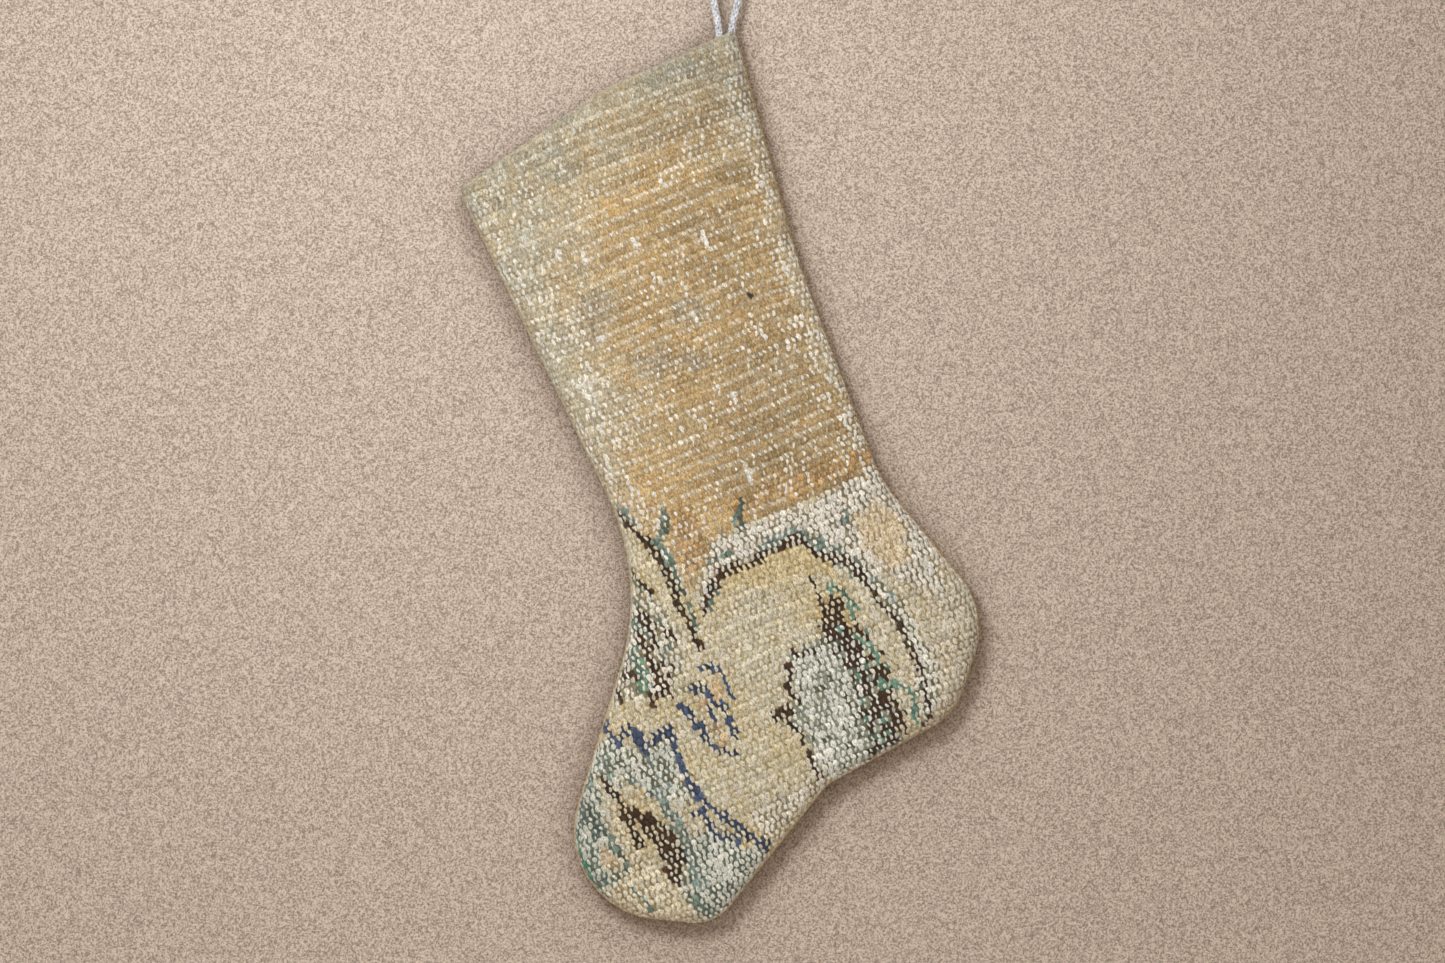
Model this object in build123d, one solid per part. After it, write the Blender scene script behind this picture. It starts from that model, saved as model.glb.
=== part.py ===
from build123d import *
import math
import os

# A Christmas-style stocking cut from an old hand-knotted rug, hanging from its cord loop.
# Frame: X to the right, Z up, front face towards -Y, origin inside the top of the loop.
# All sizes are in millimetres.

# ---- Driving dimensions -------------------------------------------------------------
RUG_THICKNESS = 4.0  # wool pile on a cotton foundation
CANVAS_THICKNESS = 1.5  # plain cotton back
LINING_THICKNESS = 0.8
FACING_THICKNESS = 1.2  # turned-in strip inside the mouth
SEAM_HALF_GAP = 0.75  # the sewn edge lies between y = -0.75 and y = +0.75
FRONT_RISE = 11.0  # front face stands this far ahead of the seam plane
BACK_RISE = 8.5  # back face stands this far behind it
FRONT_EDGE_RADIUS = 8.0  # how softly the rug rolls to the seam
BACK_EDGE_RADIUS = 6.0
HEM_DEPTH = 22.0  # depth of the turned-in strip at the mouth
ALLOWANCE_INSET = 0.5  # outer edge of the turned-in seam allowance
ALLOWANCE_WIDTH = 7.5

CORD_DIAMETER = 3.2  # braided cotton cord of the loop
STRAND_SPACING = 5.7  # between the two strands where they enter the cuff
PIVOT = (0.0, -26.6)  # x, z of the place where the cord flexes
STRAND_LIFT = 1.7  # the free loop ends this far above the pivot
TAIL_DROP = 1.2  # the sewn tails begin this far below it
TAIL_LENGTH = 18.0
THREAD_DIAMETER = 0.6
TACK_ROWS = 5  # bar-tack stitches over the tails
TACK_SPACING = 2.4
SEAM_STITCH_SPACING = 8.0
HEM_STITCH_SPACING = 9.0
HEM_STITCH_LENGTH = 4.0

# ---- Outline of the stocking: x, z and corner radius --------------------------------
CUFF_FRONT = (-128.8, -105.9)
CUFF_CROWN = (-58.7, -56.5)
CUFF_BACK = (4.4, -25.8)
CROWN_RADIUS = 130.0
BACK_OF_LEG = (37.5, -138.5, 500.0)
ANKLE = (80.2, -244.5, 74.0)
HEEL_TOP = (134.3, -308.2, 39.0)
HEEL_BOTTOM = (119.1, -358.4, 33.0)
ARCH = (57.1, -393.9, 22.0)
BALL = (3.0, -464.0, 21.5)
TOE = (-78.9, -457.3, 43.0)
INSTEP = (-32.0, -295.2, 118.0)
SIDES = [BACK_OF_LEG, ANKLE, HEEL_TOP, HEEL_BOTTOM, ARCH, BALL, TOE, INSTEP]
OVERRUN = 45.0  # the shells are made this much too long and cut along the cuff
CUFF_SLOPE = math.atan2(CUFF_BACK[1] - CUFF_FRONT[1], CUFF_BACK[0] - CUFF_FRONT[0])

# ---- Route of the free loop, from one strand's foot to the other ---------------------
LOOP_ROUTE = [
    (-2.85, -24.9),
    (-5.35, -13.8),
    (-7.8, -2.2),
    (0.0, 3.0),
    (7.8, -2.2),
    (5.35, -13.8),
    (2.85, -24.9),
]


def beyond(start, end, extra):
    """The point on the line from start through end, extra past the end."""
    dx = end[0] - start[0]
    dz = end[1] - start[1]
    scale = 1 + extra / math.hypot(dx, dz)
    return (start[0] + dx * scale, start[1] + dz * scale)


def long_outline(inset):
    """Face of the stocking's outline, run on past the cuff, with its edge moved in."""
    back_top = beyond(BACK_OF_LEG, CUFF_BACK, OVERRUN)
    front_top = beyond(INSTEP, CUFF_FRONT, OVERRUN)
    points = [front_top, back_top] + [(x, z) for x, z, _ in SIDES]
    radii = [0.0, 0.0] + [radius for _, _, radius in SIDES]
    face = make_face(FilletPolyline(*points, radius=radii, close=True))
    return offset(face, amount=-inset) if inset else face


def tray(inset, rise, edge_radius, side):
    """Solid of the outline with a rolled outer edge. side -1 is the front, +1 the back."""
    plane = Plane.XZ.offset(-side * SEAM_HALF_GAP)
    body = extrude(plane * long_outline(inset), amount=-side * (rise - SEAM_HALF_GAP))
    levels = body.edges().group_by(Axis.Y)
    rim = levels[0] if side < 0 else levels[-1]
    return fillet(rim, edge_radius)


def below_cuff(depth):
    """Everything lower than the cuff's bowed edge moved down by depth."""
    left = beyond(CUFF_CROWN, CUFF_FRONT, 30)
    right = beyond(CUFF_CROWN, CUFF_BACK, 30)
    points = [left, CUFF_CROWN, right, (200, right[1]), (200, -520), (-200, -520), (-200, left[1])]
    line = FilletPolyline(*points, radius=[0, CROWN_RADIUS, 0, 0, 0, 0, 0], close=True)
    region = extrude(Plane.XZ * make_face(line), amount=40, both=True)
    return Pos(0, 0, -depth / math.cos(CUFF_SLOPE)) * region


def tail_channel():
    """Room between the panels for the loop's ends and their tack."""
    return Pos(PIVOT[0] + 0.6, 0, PIVOT[1] - 8.0) * Box(17.0, 5.4, 34.0)


def front_wall(inset, thickness):
    """A layer of the front: its outer surface lies inset in from the rug's."""
    outer = tray(inset, FRONT_RISE - inset, FRONT_EDGE_RADIUS - inset * 0.7, -1)
    deeper = inset + thickness
    return outer - tray(deeper, FRONT_RISE - deeper, FRONT_EDGE_RADIUS - deeper * 0.7, -1)


def back_wall(inset, thickness):
    """A layer of the back, numbered the same way."""
    outer = tray(inset, BACK_RISE - inset, BACK_EDGE_RADIUS - inset * 0.7, 1)
    deeper = inset + thickness
    return outer - tray(deeper, BACK_RISE - deeper, BACK_EDGE_RADIUS - deeper * 0.7, 1)


def panels():
    """The rug front, the canvas back, their linings and the turned-in hem strips."""
    whole = below_cuff(0)
    under_hem = below_cuff(HEM_DEPTH)
    channel = tail_channel()
    nodes = {}
    for name, wall, outer, panel in (
        ("front", front_wall, RUG_THICKNESS, "front_rug_panel"),
        ("back", back_wall, CANVAS_THICKNESS, "back_canvas_panel"),
    ):
        nodes[panel] = (wall(0.0, outer) & whole) - channel
        nodes[name + "_hem_facing"] = ((wall(outer, FACING_THICKNESS) & whole) - under_hem) - channel
        nodes[name + "_lining"] = (wall(outer, LINING_THICKNESS) & under_hem) - channel
    return nodes


def seam_allowance():
    """The two panels' edges, turned in and sewn together along the sides and foot."""
    ring = long_outline(ALLOWANCE_INSET) - long_outline(ALLOWANCE_INSET + ALLOWANCE_WIDTH)
    band = extrude(Plane.XZ * ring, amount=SEAM_HALF_GAP, both=True)
    return (band & below_cuff(HEM_DEPTH * 0.25)) - tail_channel()


def side_seam_thread():
    """Ladder stitches that close the two panels' edges, one small bar each."""
    edge = long_outline(ALLOWANCE_INSET / 2).face().outer_wire()
    count = int(edge.length / SEAM_STITCH_SPACING)
    limit = below_cuff(4.0)
    bar = Cylinder(ALLOWANCE_INSET / 2, 2 * SEAM_HALF_GAP, rotation=(90, 0, 0))
    stitches = []
    for i in range(count):
        spot = edge.position_at(i / count)
        stitch = Pos(spot.X, 0, spot.Y) * bar
        if limit.is_inside(Vector(spot.X, 0, spot.Y)):
            stitches.append(stitch)
    return Compound(children=stitches)


def hem_stitches():
    """Slip stitches along the hem strip's lower edge, on its inner face, front and back."""
    start = Vector(*CUFF_FRONT)
    crown = Vector(*CUFF_CROWN)
    end = Vector(*CUFF_BACK)
    drop = Vector(0, -HEM_DEPTH / math.cos(CUFF_SLOPE))
    stitches = []
    for a, b in ((start, crown), (crown, end)):
        run = b - a
        count = int(run.length / HEM_STITCH_SPACING)
        angle = math.degrees(math.atan2(run.Y, run.X))
        for i in range(1, count):
            spot = a + run * (i / count) + drop
            if abs(spot.X - start.X) < 22 or abs(spot.X - end.X) < 18:
                continue
            for y in (-(FRONT_RISE - RUG_THICKNESS - FACING_THICKNESS - THREAD_DIAMETER / 2),
                      BACK_RISE - CANVAS_THICKNESS - FACING_THICKNESS - THREAD_DIAMETER / 2):
                bar = Cylinder(THREAD_DIAMETER / 2, HEM_STITCH_LENGTH, rotation=(0, 90, 0))
                stitches.append(Pos(spot.X, y, spot.Y - 1.0) * Rot(0, -angle, 0) * bar)
    return Compound(children=stitches)


def corner_radii(route):
    """The largest easy arc at each inner point: 0.45 of the shorter run."""
    radii = []
    for before, point, after in zip(route, route[1:], route[2:]):
        a = Vector(*point) - Vector(*before)
        b = Vector(*after) - Vector(*point)
        half_turn = math.radians(a.get_angle(b)) / 2
        radii.append(0.45 * min(a.length, b.length) / math.tan(half_turn))
    return radii


def hanging_loop():
    """The free part of the cord: up one strand, over the peg and down the other."""
    radii = corner_radii(LOOP_ROUTE)
    print("loop radii", [round(radius, 1) for radius in radii])
    path = Plane.XZ * FilletPolyline(*LOOP_ROUTE, radius=radii)
    section = Plane(origin=path @ 0, z_dir=path % 0) * Circle(CORD_DIAMETER / 2)
    tube = sweep(section, path)
    expected = path.length * math.pi * CORD_DIAMETER**2 / 4
    print("loop length", round(path.length, 1), "volume ratio", round(tube.volume / expected, 4))
    level = PIVOT[1] + STRAND_LIFT
    keep = Pos(0, 0, level + 50) * Box(100, 100, 100)
    return tube & keep


def loop_tails():
    """The cord's two ends, sewn in between the panels."""
    tails = []
    for side in (-1, 1):
        x = PIVOT[0] + side * STRAND_SPACING / 2
        z = PIVOT[1] - TAIL_DROP - TAIL_LENGTH / 2
        tails.append(Pos(x, 0, z) * Cylinder(CORD_DIAMETER / 2, TAIL_LENGTH))
    return Compound(children=tails)


def loop_bar_tack():
    """Thread bars across both tails, on the front and on the back of them."""
    bars = []
    for row in range(TACK_ROWS):
        z = PIVOT[1] - TAIL_DROP - 5.0 - row * TACK_SPACING
        for side in (-1, 1):
            y = side * (CORD_DIAMETER + THREAD_DIAMETER) / 2
            bar = Cylinder(THREAD_DIAMETER / 2, STRAND_SPACING + CORD_DIAMETER, rotation=(0, 90, 0))
            bars.append(Pos(PIVOT[0], y, z) * bar)
    return Compound(children=bars)


def all_nodes():
    nodes = panels()
    nodes["side_seam_allowance"] = seam_allowance()
    nodes["side_seam_thread"] = side_seam_thread()
    nodes["hem_stitches"] = hem_stitches()
    nodes["hanging_loop"] = hanging_loop()
    nodes["loop_tails"] = loop_tails()
    nodes["loop_bar_tack"] = loop_bar_tack()
    return nodes


os.makedirs("parts", exist_ok=True)
for node_name, solid in all_nodes().items():
    export_step(solid, f"parts/{node_name}.step")
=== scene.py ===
"""Looks of a hanging Christmas-style stocking: worn hand-knotted rug front, canvas back, cord loop.

Lengths below are in millimetres in the model's frame (X right, Z up, front towards -Y) and are
turned into metres where a mesh is made.
"""
import math

import bpy
import numpy as np
from mathutils import Matrix, Vector, kdtree, noise


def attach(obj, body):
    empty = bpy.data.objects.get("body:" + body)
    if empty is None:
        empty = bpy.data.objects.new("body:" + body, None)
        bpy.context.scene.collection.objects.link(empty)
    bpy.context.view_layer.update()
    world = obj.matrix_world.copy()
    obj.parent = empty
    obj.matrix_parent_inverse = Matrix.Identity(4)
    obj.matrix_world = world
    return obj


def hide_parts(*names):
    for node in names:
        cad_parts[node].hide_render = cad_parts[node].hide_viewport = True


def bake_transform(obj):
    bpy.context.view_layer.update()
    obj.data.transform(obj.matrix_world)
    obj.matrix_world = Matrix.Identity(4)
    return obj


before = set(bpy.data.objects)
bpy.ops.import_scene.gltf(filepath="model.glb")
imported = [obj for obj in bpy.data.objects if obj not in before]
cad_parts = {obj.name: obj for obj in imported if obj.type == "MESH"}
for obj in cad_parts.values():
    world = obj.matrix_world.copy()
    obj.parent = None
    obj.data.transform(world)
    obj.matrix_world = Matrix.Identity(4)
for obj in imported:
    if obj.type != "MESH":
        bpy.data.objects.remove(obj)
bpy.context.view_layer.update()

MM = 0.001
TAU = 2 * math.pi

# ---- Outline of the stocking: x, z and corner radius ----
CUFF_FRONT = (-128.8, -105.9)
CUFF_CROWN = (-58.7, -56.5, 130.0)
CUFF_BACK = (4.4, -25.8)
SIDES = [
    (37.5, -138.5, 500.0), (80.2, -244.5, 74.0), (134.3, -308.2, 39.0), (119.1, -358.4, 33.0),
    (57.1, -393.9, 22.0), (3.0, -464.0, 21.5), (-78.9, -457.3, 43.0), (-32.0, -295.2, 118.0),
]
BORDER_STEP = 0.5  # between the points of a border
OVERRUN = 30.0  # the sides run on this far past the cuff, where the cloth folds over
HEM_DEPTH = 22.0
STITCH_PITCH = 8.0  # of the side seam, which puckers once for each stitch

# ---- Weave of the rug ----
ROW_ANGLE = math.radians(23)  # rows of knots rise to the right
KNOT_PITCH = 3.04  # along a row
ROW_PITCH = 3.12
ROW_STAGGER = 0.30  # every other row is shifted by this part of a knot
KNOT_STEPS = 6  # mesh steps over one knot, along the row
ROW_STEPS = 5  # mesh steps from one row to the next
FOOT_BOW = 0.00037  # how strongly the rows bow in the foot
KNOT_LONG = 1.80  # half sizes of a knot's bead, its height, and half sizes of a wool tuft
KNOT_WIDE = 1.17
KNOT_HIGH = 0.92
TUFT_LONG = 1.75
TUFT_WIDE = 0.95

# ---- Cord loop ----
CORD_DIAMETER = 3.2
LOOP_ROUTE = [
    (-2.85, -32.0), (-2.85, -24.9), (-5.35, -13.8), (-7.8, -2.2), (0.0, 3.0),
    (7.8, -2.2), (5.35, -13.8), (2.85, -24.9), (2.85, -32.0),
]


# ==== Small helpers ====
def linear(red, green, blue):
    """A colour given as it looks on a screen, 0 to 255, as light."""
    parts = []
    for value in (red, green, blue):
        v = value / 255
        parts.append(v / 12.92 if v <= 0.04045 else ((v + 0.055) / 1.055) ** 2.4)
    return np.array(parts)


def paint(red, green, blue):
    """The same colour for a material's socket."""
    return (*linear(red, green, blue), 1)


def smooth(low, high, value):
    t = np.clip((value - low) / (high - low), 0, 1)
    return t * t * (3 - 2 * t)


def blend(a, b, t):
    return a + (b - a) * t


def tint(colours, dye, share):
    """Rows of colours moved towards a dye, or towards other rows, by a share for each row."""
    return blend(colours, dye, share[:, None])


def pick(chosen, yes, no):
    """Rows of colours chosen one by one."""
    return np.where(chosen[:, None], yes, no)


def soft_noise(x, z, scale, seed):
    """Smooth noise from about -1 to 1 at every point of two arrays."""
    spots = zip((x / scale).ravel(), (z / scale).ravel())
    values = [noise.noise(Vector((a, b, seed * 7.31))) for a, b in spots]
    return np.clip(np.array(values).reshape(x.shape) * 1.6, -1, 1)


# ==== Camera and light ====
VIEW_CENTRE = (3.0, -246.7)
VIEW_WIDTH = 708.0
VIEW_PLANE = -4.0
CAMERA_ROLL = math.radians(1.1)
LENS = 100.0
SENSOR = 36.0
LIT_POINT = Vector((0, 0, -0.25))


def make_camera():
    data = bpy.data.cameras.new("camera")
    data.lens = LENS
    data.sensor_width = SENSOR
    camera = bpy.data.objects.new("camera", data)
    distance = VIEW_WIDTH * LENS / SENSOR
    place = Vector((VIEW_CENTRE[0], VIEW_PLANE - distance, VIEW_CENTRE[1])) * MM
    facing_y = Matrix.Rotation(math.pi / 2, 4, "X")
    roll = Matrix.Rotation(-CAMERA_ROLL, 4, "Y")
    camera.matrix_world = Matrix.Translation(place) @ roll @ facing_y
    data.clip_start = 0.05
    data.clip_end = 50
    bpy.context.collection.objects.link(camera)
    bpy.context.scene.camera = camera


def make_light(name, place, size, watts, colour=(1.0, 1.0, 1.0)):
    data = bpy.data.lights.new(name, "AREA")
    data.shape = "DISK"
    data.size = size
    data.energy = watts
    data.color = colour
    lamp = bpy.data.objects.new(name, data)
    lamp.location = place
    lamp.rotation_euler = (LIT_POINT - Vector(place)).to_track_quat("-Z", "Y").to_euler()
    bpy.context.collection.objects.link(lamp)


def make_world():
    world = bpy.data.worlds.new("soft_room")
    bpy.context.scene.world = world
    world.use_nodes = True
    sky = world.node_tree.nodes["Background"]
    sky.inputs["Color"].default_value = (1.0, 0.96, 0.91, 1)
    sky.inputs["Strength"].default_value = 0.64


# ==== Materials ====
class Nodes:
    """Short calls for building a material's node tree."""

    def __init__(self, name):
        self.material = bpy.data.materials.new(name)
        self.material.use_nodes = True
        self.tree = self.material.node_tree
        self.shader = self.tree.nodes["Principled BSDF"]

    def add(self, kind, inputs=None, **settings):
        node = self.tree.nodes.new(kind)
        for key, value in settings.items():
            setattr(node, key, value)
        for key, value in (inputs or {}).items():
            if isinstance(value, bpy.types.NodeSocket):
                self.tree.links.new(value, node.inputs[key])
            else:
                node.inputs[key].default_value = value
        return node

    def out(self, kind, socket, inputs=None, **settings):
        return self.add(kind, inputs, **settings).outputs[socket]

    def attribute(self, name, socket="Color"):
        return self.out("ShaderNodeAttribute", socket, attribute_name=name)

    def math(self, operation, a, b=0.0):
        return self.out("ShaderNodeMath", 0, {0: a, 1: b}, operation=operation)

    def plus(self, a, b):
        return self.math("ADD", a, b)

    def times(self, a, b):
        return self.math("MULTIPLY", a, b)

    def centred(self, value, amount):
        """A noise value taken about its middle, times an amount."""
        return self.times(self.math("SUBTRACT", value, 0.5), amount)

    def mix(self, factor, a, b, blend_type="MIX"):
        inputs = {0: factor, 6: a, 7: b}
        return self.out("ShaderNodeMix", 2, inputs, data_type="RGBA", blend_type=blend_type)

    def ramp(self, value, low, high, to_low=0.0, to_high=1.0):
        spans = {"Value": value, "From Min": low, "From Max": high}
        spans.update({"To Min": to_low, "To Max": to_high})
        return self.out("ShaderNodeMapRange", 0, spans, interpolation_type="SMOOTHSTEP")

    def place(self, scale=(1, 1, 1), turn=0.0):
        spot = self.out("ShaderNodeTexCoord", "Object")
        turned = self.out("ShaderNodeMapping", 0, {"Vector": spot, "Rotation": (0, turn, 0)})
        return self.out("ShaderNodeMapping", 0, {"Vector": turned, "Scale": scale})

    def noise(self, vector, scale, detail=2.0, roughness=0.5):
        values = {"Vector": vector, "Scale": scale, "Detail": detail, "Roughness": roughness}
        return self.out("ShaderNodeTexNoise", 0, values)

    def link(self, value, socket):
        self.tree.links.new(value, self.shader.inputs[socket])

    def shaded(self, colour, value):
        """Base colour: a colour made lighter or darker by a value."""
        grey = self.out("ShaderNodeCombineColor", 0, {0: value, 1: value, 2: value})
        self.link(self.mix(1.0, colour, grey, "MULTIPLY"), "Base Color")

    def cloth(self, sheen, grain, smoothest, roughest):
        """Fibre gloss, the same all over the surface, and roughness that follows a grain."""
        self.shader.inputs["Sheen Weight"].default_value = sheen
        self.shader.inputs["Sheen Roughness"].default_value = 0.5
        self.shader.inputs["Specular IOR Level"].default_value = 0.25
        self.link(self.ramp(grain, 0.3, 0.7, smoothest, roughest), "Roughness")

    def bump(self, height, strength, distance):
        values = {"Height": height, "Strength": strength, "Distance": distance}
        self.link(self.out("ShaderNodeBump", 0, values), "Normal")


def rug_wool():
    """Worn knots: cream cotton nodes standing in dyed wool, each with its own fibre grain, with
    painted shade in the low places between them.
    """
    n = Nodes("rug_wool")
    fibre = n.noise(n.place((1.0, 1.0, 0.45), ROW_ANGLE), 1650.0, 4.0, 0.8)
    strand = n.noise(n.place((1.0, 1.0, 0.25), ROW_ANGLE + 0.1), 3000.0, 2.0, 0.6)
    tuft = n.noise(n.place(), 800.0, 3.0, 0.6)
    ragged = n.plus(n.attribute("cover", "Fac"), n.centred(fibre, 1.3))
    dyed = n.mix(n.ramp(ragged, -0.08, 0.14), n.attribute("ground"), n.attribute("bead"))
    shade = n.ramp(n.plus(fibre, n.centred(strand, 0.7)), 0.36, 0.64, 0.52, 1.30)
    broad = n.ramp(tuft, 0.3, 0.7, 0.90, 1.07)
    # Painted shade: the low places between knots and tufts are darkened by their height.
    deep = n.ramp(n.attribute("painted_shade_height", "Fac"), 0.0, 0.62, 0.76, 1.0)
    n.shaded(dyed, n.times(n.times(shade, broad), deep))
    n.bump(n.plus(fibre, n.times(tuft, 0.6)), 0.7, 0.0006)
    n.cloth(0.2, tuft, 0.82, 0.97)
    return n.material


def plain_weave(name, light, dark, pitch):
    """Over-and-under threads of the given pitch in millimetres, with slubs and soft soiling."""
    n = Nodes(name)
    spot = n.place()
    wobble = n.noise(spot, 120.0, 2.0)
    across = n.out("ShaderNodeSeparateXYZ", "X", {0: spot})
    along = n.out("ShaderNodeSeparateXYZ", "Z", {0: spot})
    step = TAU / (pitch * MM)
    drift = n.times(wobble, 2.5)
    warp = n.math("SINE", n.plus(n.times(across, step), drift))
    weft = n.math("SINE", n.plus(n.times(along, step), drift))
    threads = n.plus(n.math("ABSOLUTE", warp), n.math("ABSOLUTE", weft))
    fibre = n.noise(spot, 2400.0, 2.0)
    height = n.plus(n.times(n.times(warp, weft), 0.5), n.times(threads, 0.35))
    height = n.plus(height, n.times(fibre, 0.5))
    thick = n.noise(n.place((0.2, 1, 4)), 160.0, 2.0)
    thin = n.noise(n.place((4, 1, 0.2)), 160.0, 2.0)
    slubs = n.times(n.plus(thick, thin), 0.25)
    # Painted shade between the threads: the colour goes to the dark tone where the weave runs low,
    # and the slubs vary it as the threads' own tone.
    colour = n.mix(n.ramp(n.plus(n.times(height, 0.45), slubs), 0.0, 0.9), dark, light)
    n.shaded(colour, n.ramp(n.noise(n.place(), 14.0, 3.0), 0.35, 0.75, 1.04, 0.9))
    n.bump(height, 0.5, 0.0004)
    n.cloth(0.15, fibre, 0.8, 0.95)
    return n.material


def cotton_thread(name, light, dark, scale):
    """Twisted cotton: fine grain, with painted shade that makes the hollows a little darker."""
    n = Nodes(name)
    grain = n.noise(n.place((1, 1, 0.5)), scale, 3.0, 0.6)
    broad = n.noise(n.place(), 160.0, 2.0)
    mixed = n.plus(n.times(grain, 0.7), n.times(broad, 0.3))
    # Painted shade: the grain that makes the bump's hollows also darkens the colour there, mixed
    # with broad tone changes.
    n.link(n.mix(n.ramp(mixed, 0.32, 0.62), dark, light), "Base Color")
    n.bump(grain, 0.5, 0.0002)
    n.cloth(0.2, grain, 0.75, 0.95)
    return n.material


def seam_edge():
    """The sewn edge, whose dye changes round the stocking, with painted shade on its right side."""
    n = Nodes("seam_edge")
    grain = n.noise(n.place(), 1300.0, 3.0, 0.6)
    n.shaded(n.attribute("ground"), n.ramp(grain, 0.25, 0.75, 0.72, 1.12))
    n.bump(grain, 0.6, 0.0003)
    n.cloth(0.15, grain, 0.8, 0.95)
    return n.material


def wall_paint():
    """Pale warm wall with painted shade in its corners and close round the stocking; it can't be
    seen from behind, where the back is.
    """
    n = Nodes("wall_paint")
    grain = n.ramp(n.noise(n.place(), 1250.0, 3.0, 0.9), 0.39, 0.60)
    coat = n.mix(grain, paint(117, 102, 90), paint(204, 187, 171))
    # Painted shade: the wall's colour darkens where nearby surfaces close it in, a painted contact
    # shadow round the stocking.
    open_sky = n.out("ShaderNodeAmbientOcclusion", "AO", {"Distance": 0.021}, samples=16)
    painted_contact_shade = n.mix(n.ramp(open_sky, 0.30, 1.0), (0.42, 0.37, 0.33, 1), (1, 1, 1, 1))
    n.link(n.mix(1.0, coat, painted_contact_shade, "MULTIPLY"), "Base Color")
    n.shader.inputs["Roughness"].default_value = 0.9
    behind = n.out("ShaderNodeNewGeometry", "Backfacing")
    clear = n.out("ShaderNodeBsdfTransparent", 0)
    seen = n.add("ShaderNodeMixShader", {0: behind, 2: clear})
    n.tree.links.new(n.shader.outputs[0], seen.inputs[1])
    n.tree.links.new(seen.outputs[0], n.tree.nodes["Material Output"].inputs["Surface"])
    return n.material


def floor_paint():
    n = Nodes("floor_paint")
    grain = n.ramp(n.noise(n.place(), 60.0, 2.0), 0.3, 0.7)
    n.link(n.mix(grain, (0.60, 0.54, 0.48, 1), (0.66, 0.60, 0.54, 1)), "Base Color")
    n.shader.inputs["Roughness"].default_value = 0.85
    return n.material


# ==== Outline and surface ====
def lengths_along(points):
    """Length of a line up to each of its points."""
    steps = np.linalg.norm(np.diff(points, axis=0), axis=1)
    return np.concatenate([[0], np.cumsum(steps)])


def resample(points, step):
    """Even points along a line, and the length up to each."""
    lengths = lengths_along(points)
    even = np.linspace(0, lengths[-1], int(lengths[-1] / step) + 1)
    return np.stack([np.interp(even, lengths, axis) for axis in points.T], axis=1), even


def run_on(start, end):
    """The point on the line from start through end, OVERRUN past the end."""
    run = np.subtract(end[:2], start[:2])
    return np.array(end[:2]) + run * (OVERRUN / np.hypot(*run))


def rounded_line(corners):
    """Even points along a line whose inner corners are arcs; a corner is x, z and radius."""
    points = [np.array(corners[0][:2], float)]
    for before, corner, after in zip(corners, corners[1:], corners[2:]):
        here = np.array(corner[:2], float)
        a = np.array(before[:2]) - here
        b = np.array(after[:2]) - here
        a /= np.hypot(*a)
        b /= np.hypot(*b)
        half = math.acos(np.clip(a @ b, -1, 1)) / 2
        reach = corner[2] / math.tan(half)
        centre = here + (a + b) / np.hypot(*(a + b)) * corner[2] / math.sin(half)
        start = here + a * reach - centre
        sweep = math.pi - 2 * half
        turn = math.copysign(1, a[0] * b[1] - a[1] * b[0])
        for t in np.linspace(0, -sweep * turn, max(3, int(sweep * corner[2] / BORDER_STEP))):
            c = math.cos(t)
            s = math.sin(t)
            points.append(centre + (start[0] * c - start[1] * s, start[0] * s + start[1] * c))
    points.append(np.array(corners[-1][:2], float))
    return resample(np.array(points), BORDER_STEP)[0]


class Border:
    """A rounded line with the cloth on its right-hand side, and distances from it."""

    def __init__(self, corners):
        points = rounded_line(corners)
        self.points = points
        run = np.gradient(points, axis=0)
        self.along = run / np.hypot(*run.T)[:, None]
        self.inward = np.stack([self.along[:, 1], -self.along[:, 0]], axis=1)
        self.length = lengths_along(points)
        self.tree = kdtree.KDTree(len(points))
        for k, (x, z) in enumerate(points):
            self.tree.insert((x, z, 0), k)
        self.tree.balance()

    def depth(self, spots):
        return self.measure(spots)[0]

    def measure(self, spots):
        """Signed distance in from the line, inward direction and length along, for each spot."""
        near = np.array([self.tree.find((x, z, 0))[1] for x, z in spots])
        inward = self.inward[near]
        gap = spots - self.points[near]
        distance = (gap * inward).sum(axis=1)
        return distance, inward, self.length[near] + (gap * self.along[near]).sum(axis=1)


class Profile:
    """How a panel's skin rolls from the seam to its face, by length along the cloth."""

    FAR_STEPS = 180
    DOME_REACH = 18.0  # how fast the face crowns, inward from the roll

    def __init__(self, facing, inset, lip, roll, rise, dome):
        self.facing = facing
        angle = np.linspace(0, math.pi / 2, 40)
        lip_in = inset + lip * (1 - np.sin(angle))
        lip_depth = 0.3 + lip * (1 - np.cos(angle))
        roll_in = inset + roll * (1 - np.cos(angle[1:]))
        roll_depth = 0.3 + lip + rise * np.sin(angle[1:])
        far = np.linspace(0.5, 90, self.FAR_STEPS)
        far_depth = roll_depth[-1] + dome * (1 - np.exp(-far / self.DOME_REACH))
        self.inset = np.concatenate([lip_in, roll_in, roll_in[-1] + far])
        self.depth = np.concatenate([lip_depth, roll_depth, far_depth])
        steps = np.hypot(np.diff(self.inset), np.diff(self.depth))
        steps[-self.FAR_STEPS :] = np.diff(self.inset)[-self.FAR_STEPS :]
        self.length = np.concatenate([[0], np.cumsum(steps)])
        self.slack = self.length[-1] - self.inset[-1]
        self.d_inset = np.gradient(self.inset, self.length)
        self.d_depth = np.gradient(self.depth, self.length)

    def at(self, length):
        tables = (self.inset, self.depth, self.d_inset, self.d_depth)
        values = [np.interp(length, self.length, table) for table in tables]
        values[0] = values[0] + np.maximum(length - self.length[-1], 0)
        return values


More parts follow.
